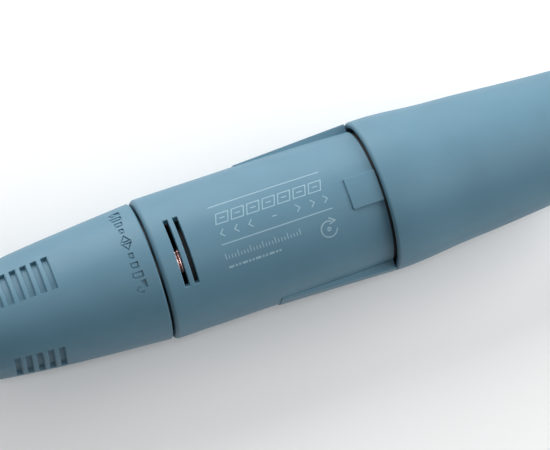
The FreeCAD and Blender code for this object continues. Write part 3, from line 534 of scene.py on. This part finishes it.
def magnet():
    """Nickel plate with a faint orange-peel."""
    look = new_look("magnet", (0.52, 0.50, 0.46), 1.0, 0.18)
    peel = look.noise(1500, 2)
    look.vary_colour(look.noise(350, 3), 0.9, 1.05)
    look.relief(peel, 0.12, 0.00001, look.softened(0.00008))
    look.vary_roughness(peel, 0.14, 0.26)
    return look


def moulded_black(name, colour, roughness):
    """A dark engineering plastic, glass-filled, so that it is slightly mottled."""
    look = new_look(name, colour, 0.0, roughness)
    fibres = look.noise(2200, 4, look.stretched((0.3, 1, 1)))
    look.vary_colour(fibres, 0.8, 1.35)
    look.vary_roughness(fibres, roughness - 0.06, roughness + 0.08)
    look.relief(look.noise(5000, 2), 0.12, 0.00001, look.softened(0.00008))
    return look


def fan_plastic():
    return moulded_black("fan_plastic", (0.02, 0.02, 0.023), 0.42)


# Black plastic, as the carrier is, darkened further so that its collar in the gap before the sleeve shows as
# painted shade.
def carrier_plastic():
    return moulded_black("carrier_plastic", (0.013, 0.015, 0.018), 0.58)


def board():
    """Green solder mask over a glass weave."""
    look = new_look("board", (0.012, 0.14, 0.055), 0.0, 0.32)
    warp = look.bands(0.0005, "Y")
    weft = look.bands(0.0005, "Z")
    weave = look.maths("MULTIPLY", warp, weft)
    look.vary_colour(look.noise(700, 2), 0.85, 1.2)
    look.relief(weave, 0.2, 0.00001)
    look.set(Coat_Weight=0.5, Coat_Roughness=0.15)
    return look


def chip():
    look = new_look("chip", (0.018, 0.018, 0.02), 0.0, 0.4)
    grain = look.noise(6000, 2)
    look.vary_colour(grain, 0.8, 1.5)
    look.relief(grain, 0.2, 0.00001, look.softened(0.00008))
    return look


def insulator_plastic():
    """Ivory moulding round the contacts."""
    look = new_look("insulator_plastic", (0.60, 0.56, 0.45), 0.0, 0.44)
    look.vary_colour(look.noise(260, 3), 0.94, 1.04)
    grain = look.noise(4200, 2)
    look.vary_roughness(grain, 0.38, 0.5)
    look.relief(grain, 0.1, 0.00001, look.softened(0.0001))
    look.set(Subsurface_Weight=0.04, Subsurface_Scale=0.0006)
    return look


def contact_metal():
    """Gold plate, a little worn to nickel along its edges."""
    look = new_look("contact_metal", (0.93, 0.66, 0.24), 1.0, 0.16)
    wear = look.edge_wear_and_highlight(0.00008, 0.4)
    look.paint(look.mixed(wear, (0.93, 0.66, 0.24), (0.68, 0.64, 0.56)))
    look.vary_roughness(look.noise(1600, 3), 0.12, 0.24)
    return look


def wire_insulation():
    """Silicone leads in four colours, one for each quarter turn round the axis."""
    look = new_look("wire_insulation", (0.40, 0.03, 0.025), 0.0, 0.5)
    parts = look.split()
    right = look.maths("GREATER_THAN", parts[1], 0.0)
    upper = look.maths("GREATER_THAN", parts[2], 0.0)
    above = look.mixed(right, (0.03, 0.03, 0.035), (0.42, 0.03, 0.025))
    under = look.mixed(right, (0.45, 0.33, 0.02), (0.03, 0.09, 0.34))
    colour = look.mixed(upper, under, above)
    fade = look.span(look.noise(900, 3), 0.0, 0.18)
    look.paint(look.mixed(fade, colour, (0.35, 0.33, 0.31)))
    look.vary_roughness(look.noise(2500, 2), 0.42, 0.6)
    return look


def pad_ink():
    """Pale pad-printed ink, thin enough for the shell to show through a little where it is worn."""
    look = new_look("pad_ink", (0.26, 0.40, 0.48), 0.0, 0.5)
    wear = look.noise(1900, 4)
    look.paint(look.mixed(look.span(wear, 0, 0.5, 0.45, 0.8), (0.26, 0.40, 0.48), (0.17, 0.30, 0.38)))
    look.vary_roughness(wear, 0.44, 0.58)
    return look


MAKERS = {
    "shell_plastic": shell_plastic,
    "nose_metal": nose_metal,
    "housing_metal": housing_metal,
    "hard_steel": hard_steel,
    "bearing_steel": bearing_steel,
    "spring_steel": spring_steel,
    "fastener_steel": fastener_steel,
    "brass": brass,
    "cage_plastic": cage_plastic,
    "seal_rubber": seal_rubber,
    "slide_plastic": slide_plastic,
    "lamination_steel": lamination_steel,
    "winding_copper": winding_copper,
    "magnet": magnet,
    "fan_plastic": fan_plastic,
    "board": board,
    "chip": chip,
    "carrier_plastic": carrier_plastic,
    "insulator_plastic": insulator_plastic,
    "contact_metal": contact_metal,
    "wire_insulation": wire_insulation,
    "nut_metal": nut_metal,
}


def make_materials():
    return {slot: maker().material for slot, maker in MAKERS.items()}


def finish_nodes(materials):
    """Gives every CAD node the finish of its slot."""
    slots = {part["node"]: part["material_slot"] for part in frame["record"]["subparts"]}
    for name, node in frame["nodes"].items():
        node.data.materials.clear()
        node.data.materials.append(materials[slots[name]])


# Pieces made here.


def new_piece(name, build, material, body):
    """Turns a bmesh into a piece that rides on a body."""
    mesh = bpy.data.meshes.new(name)
    build.to_mesh(mesh)
    build.free()
    piece = bpy.data.objects.new(name, mesh)
    bpy.context.scene.collection.objects.link(piece)
    mesh.materials.append(material)
    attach(piece, body)
    return piece


class Surface:
    """The body shell's outer face, on which ink is laid."""

    def __init__(self, node):
        mesh = frame["nodes"][node].data
        corners = [vertex.co.copy() for vertex in mesh.vertices]
        faces = [tuple(face.vertices) for face in mesh.polygons]
        self.tree = BVHTree.FromPolygons(corners, faces)

    def point(self, x, angle):
        """The place that is x mm along and angle degrees from +Z towards +Y, just above the face."""
        turn = math.radians(angle)
        outward = Vector((0, math.sin(turn), math.cos(turn)))
        start = Vector((x * MM, 0, 0)) + 0.03 * outward
        hit = self.tree.ray_cast(start, -outward)[0]
        return hit + INK_LIFT * MM * outward


def mitred(points, width, closed):
    """The two sides of a line of a given width along points in a plane."""
    count = len(points)
    left = []
    right = []
    for k, (x, y) in enumerate(points):
        before = points[(k - 1) % count] if closed or k > 0 else None
        after = points[(k + 1) % count] if closed or k < count - 1 else None
        normals = []
        for a, b in ((before, (x, y)), ((x, y), after)):
            if a and b:
                length = math.hypot(b[0] - a[0], b[1] - a[1])
                normals.append((-(b[1] - a[1]) / length, (b[0] - a[0]) / length))
        nx = sum(n[0] for n in normals)
        ny = sum(n[1] for n in normals)
        size = math.hypot(nx, ny)
        nx, ny = nx / size, ny / size
        reach = width / 2 / max(0.4, nx * normals[0][0] + ny * normals[0][1])
        left.append((x + nx * reach, y + ny * reach))
        right.append((x - nx * reach, y - ny * reach))
    return left, right


def divided(points, closed, step=0.5):
    """The same line with points no further apart than step, so that it can follow a curved face."""
    pairs = zip(points, points[1:] + points[:1] if closed else points[1:])
    result = []
    for a, b in pairs:
        pieces = max(1, math.ceil(math.hypot(b[0] - a[0], b[1] - a[1]) / step))
        for k in range(pieces):
            result.append((a[0] + (b[0] - a[0]) * k / pieces, a[1] + (b[1] - a[1]) * k / pieces))
    return result if closed else result + [points[-1]]


class Print:
    """Ink on the body. A mark is drawn about a centre: x along the axis and y round it, towards +Y."""

    def __init__(self, surface):
        self.surface = surface
        self.build = bmesh.new()
        self.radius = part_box("body_shell")[1].z / MM - 0.1

    def corner(self, centre, x, y):
        angle = centre[1] + math.degrees(y / self.radius)
        return self.build.verts.new(self.surface.point(centre[0] + x, angle))

    def line(self, centre, points, closed=False, width=INK_LINE):
        points = divided(points, closed)
        left, right = mitred(points, width, closed)
        a = [self.corner(centre, *p) for p in left]
        b = [self.corner(centre, *p) for p in right]
        last = len(points) if closed else len(points) - 1
        for k in range(last):
            j = (k + 1) % len(points)
            self.build.faces.new((b[k], b[j], a[j], a[k]))

    def ring(self, centre, radius, start=0, end=360, width=INK_LINE, steps=28):
        turns = [math.radians(start + (end - start) * k / steps) for k in range(steps + 1)]
        points = [(radius * math.cos(t), radius * math.sin(t)) for t in turns]
        if end - start == 360:
            self.line(centre, points[:-1], True, width)
        else:
            self.line(centre, points, False, width)

    def piece(self, name, ink):
        bmesh.ops.recalc_face_normals(self.build, faces=self.build.faces)
        for face in self.build.faces:
            middle = face.calc_center_median()
            if face.normal.dot(Vector((0, middle.y, middle.z))) < 0:
                face.normal_flip()
        made = new_piece(name, self.build, ink, "housing")
        skin = made.modifiers.new("thickness", "SOLIDIFY")
        skin.thickness = INK_LIFT * MM
        skin.offset = -1


def print_rules(surface, ink):
    """The two long rules above and below the main rows."""
    sheet = Print(surface)
    middle = sum(PANEL_X) / 2
    half = (PANEL_X[1] - PANEL_X[0]) / 2
    for angle in RULE_ANGLES:
        sheet.line((middle, angle), [(-half, 0), (half, 0)])
    sheet.piece("print_rules", ink)


def print_bars(surface, ink):
    """The wide row: slanted outlined bars, each with a short stroke inside."""
    sheet = Print(surface)
    margin = 0.3
    pitch = (PANEL_X[1] - PANEL_X[0] - 2 * margin) / BAR_COUNT
    half = pitch / 2 - 0.35
    lower = [(-half - BAR_SLANT, -BAR_HALF_HEIGHT), (half - BAR_SLANT, -BAR_HALF_HEIGHT)]
    upper = [(half + BAR_SLANT, BAR_HALF_HEIGHT), (-half + BAR_SLANT, BAR_HALF_HEIGHT)]
    for k in range(BAR_COUNT):
        centre = (PANEL_X[0] + margin + pitch * (k + 0.5), BAR_ANGLE)
        sheet.line(centre, lower + upper, True)
        sheet.line(centre, [(-half * 0.45, 0), (half * 0.45, 0)])
    sheet.piece("print_bars", ink)


def print_chevrons(surface, ink):
    """The spaced row: three chevrons that point forwards, a dash, and three that point back."""
    sheet = Print(surface)
    size = CHEVRON_SIZE
    for way, row in ((-1, CHEVRONS_FORWARD), (1, CHEVRONS_BACK)):
        corners = [(-way * size / 2, -size), (way * size / 2, 0), (-way * size / 2, size)]
        for x in row:
            sheet.line((x, CHEVRON_ANGLE), corners)
    sheet.line((DASH_BETWEEN, CHEVRON_ANGLE), [(-0.45, 0), (0.45, 0)])
    sheet.piece("print_chevrons", ink)


def print_scale(surface, ink):
    """A plain scale of ticks, with every fourth one longer."""
    sheet = Print(surface)
    long_tick = 0.58
    short_tick = 0.34
    start = PANEL_X[0] + 0.1
    for k in range(TICK_COUNT):
        x = start + (SCALE_END - start) * k / (TICK_COUNT - 1)
        reach = long_tick if k % 4 == 0 else short_tick
        sheet.line((x, TICK_ANGLE), [(0, -long_tick), (0, -long_tick + 2 * reach)], False, TICK_LINE)
    sheet.piece("print_scale", ink)


def print_dashes(surface, ink):
    """The lowest row: dashes, one long and two short in turn."""
    sheet = Print(surface)
    gap = 0.27
    x = PANEL_X[0] + 0.1
    for k in range(DASH_COUNT):
        length = 1.05 if k % 3 == 0 else 0.4
        sheet.line((x + length / 2, DASH_ANGLE), [(-length / 2, 0), (length / 2, 0)], False, DASH_LINE)
        x += length + gap
    sheet.piece("print_dashes", ink)


def print_turn_sign(surface, ink):
    """An open circle that ends in an arrowhead: this side turns."""
    sheet = Print(surface)
    sheet.ring(SIGN_PLACE, SIGN_R, SIGN_START, 350, SIGN_LINE)
    tip = math.radians(SIGN_START)
    x, y = SIGN_R * math.cos(tip), SIGN_R * math.sin(tip)
    head = [(x - 0.30, y + 0.75), (x + 0.72, y - 0.05), (x - 0.45, y - 0.45)]
    sheet.line(SIGN_PLACE, head, False, SIGN_LINE)
    sheet.ring(SIGN_PLACE, 0.3, width=SIGN_LINE, steps=14)
    sheet.piece("print_turn_sign", ink)


def make_print(ink):
    """The panel's neutral marks, one piece for each row."""
    surface = Surface("body_shell")
    print_rules(surface, ink)
    print_bars(surface, ink)
    print_chevrons(surface, ink)
    print_scale(surface, ink)
    print_dashes(surface, ink)
    print_turn_sign(surface, ink)


def racetrack(half_width, x0, x1, corner, steps=5):
    """A long rounded rectangle about the tooth, as (x, y)."""
    centres = [(x1 - corner, half_width - corner, 0), (x0 + corner, half_width - corner, 90)]
    centres += [(x0 + corner, corner - half_width, 180), (x1 - corner, corner - half_width, 270)]
    points = []
    for cx, cy, start in centres:
        for k in range(steps + 1):
            turn = math.radians(start + 90 * k / steps)
            points.append((cx + corner * math.cos(turn), cy + corner * math.sin(turn)))
    return points


def add_turn(build, places, normal):
    """One turn of wire: a closed tube through places, which lie in a plane across normal."""
    rings = []
    for k, place in enumerate(places):
        ahead = (places[(k + 1) % len(places)] - places[k - 1]).normalized()
        across = normal.cross(ahead)
        ring = []
        for s in range(TUBE_SIDES):
            spin = 2 * math.pi * s / TUBE_SIDES
            outward = normal * math.cos(spin) + across * math.sin(spin)
            ring.append(build.verts.new(place + outward * WIRE_R * MM))
        rings.append(ring)
    for k, ring in enumerate(rings):
        following = rings[(k + 1) % len(rings)]
        for s in range(TUBE_SIDES):
            t = (s + 1) % TUBE_SIDES
            face = build.faces.new((ring[s], ring[t], following[t], following[s]))
            face.smooth = True


def add_coil(build, angle, front):
    """The turns round the tooth that stands at an angle from +Y. The outer columns are looser at the ends."""
    turn = math.radians(angle)
    outward = Vector((0, math.cos(turn), math.sin(turn)))
    side = Vector((0, -math.sin(turn), math.cos(turn)))
    reach = (COIL_WINDOW[0] - front - 2 * WIRE_R) / len(COIL_COLUMNS)
    for layer, lift in enumerate(COIL_LAYERS):
        for column, half in enumerate(COIL_COLUMNS):
            loose = 0.05 * math.sin(2.3 * layer + 1.7 * column + angle)
            end = WIRE_R + reach * column + loose
            corner = 0.55 + 0.42 * column
            points = racetrack(half, COIL_WINDOW[0] - end, COIL_WINDOW[1] + end, corner)
            places = [(X_AXIS * x + side * y + outward * lift) * MM for x, y in points]
            add_turn(build, places, outward)


def add_links(build, angle, front):
    """The link wires over a coil's front end: each goes round under the vent slots and back into the coil."""
    for column in range(LINK_COLUMNS):
        for layer, lift in enumerate(LINK_LAYERS):
            spread = LINK_HALF_SPAN - 0.8 * layer + 0.5 * math.sin(5.1 * column + 3.3 * layer + angle)
            x = front + WIRE_R * (1 + 2 * column)
            places = []
            for radius, way in ((lift, 1), (LINK_ROOT, -1)):
                for k in range(-LINK_STEPS, LINK_STEPS + 1):
                    turn = math.radians(angle + way * spread * k / LINK_STEPS)
                    places.append(Vector((x, radius * math.cos(turn), radius * math.sin(turn))) * MM)
            add_turn(build, places, X_AXIS)


def make_windings(copper):
    """Real turns of wire, layer on layer, in place of the plain coils."""
    build = bmesh.new()
    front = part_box("stator_coils")[0].x / MM
    for angle in COIL_ANGLES:
        add_coil(build, angle, front)
        add_links(build, angle, front)
    piece = new_piece("winding_turns", build, copper, "housing")
    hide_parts("stator_coils")


def make_spring_stack(steel):
    """The disc springs as a piece of their own, which rides on the spindle."""
    build = bmesh.new()
    build.from_mesh(frame["nodes"]["disc_springs"].data)
    piece = new_piece("spring_stack", build, steel, "spindle")
    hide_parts("disc_springs")
    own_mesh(piece)


# The scene.


make_camera()
light_studio()
make_floor()
finishes = make_materials()
finish_nodes(finishes)
make_print(pad_ink().material)
make_windings(finishes["winding_copper"])
make_spring_stack(finishes["spring_steel"])
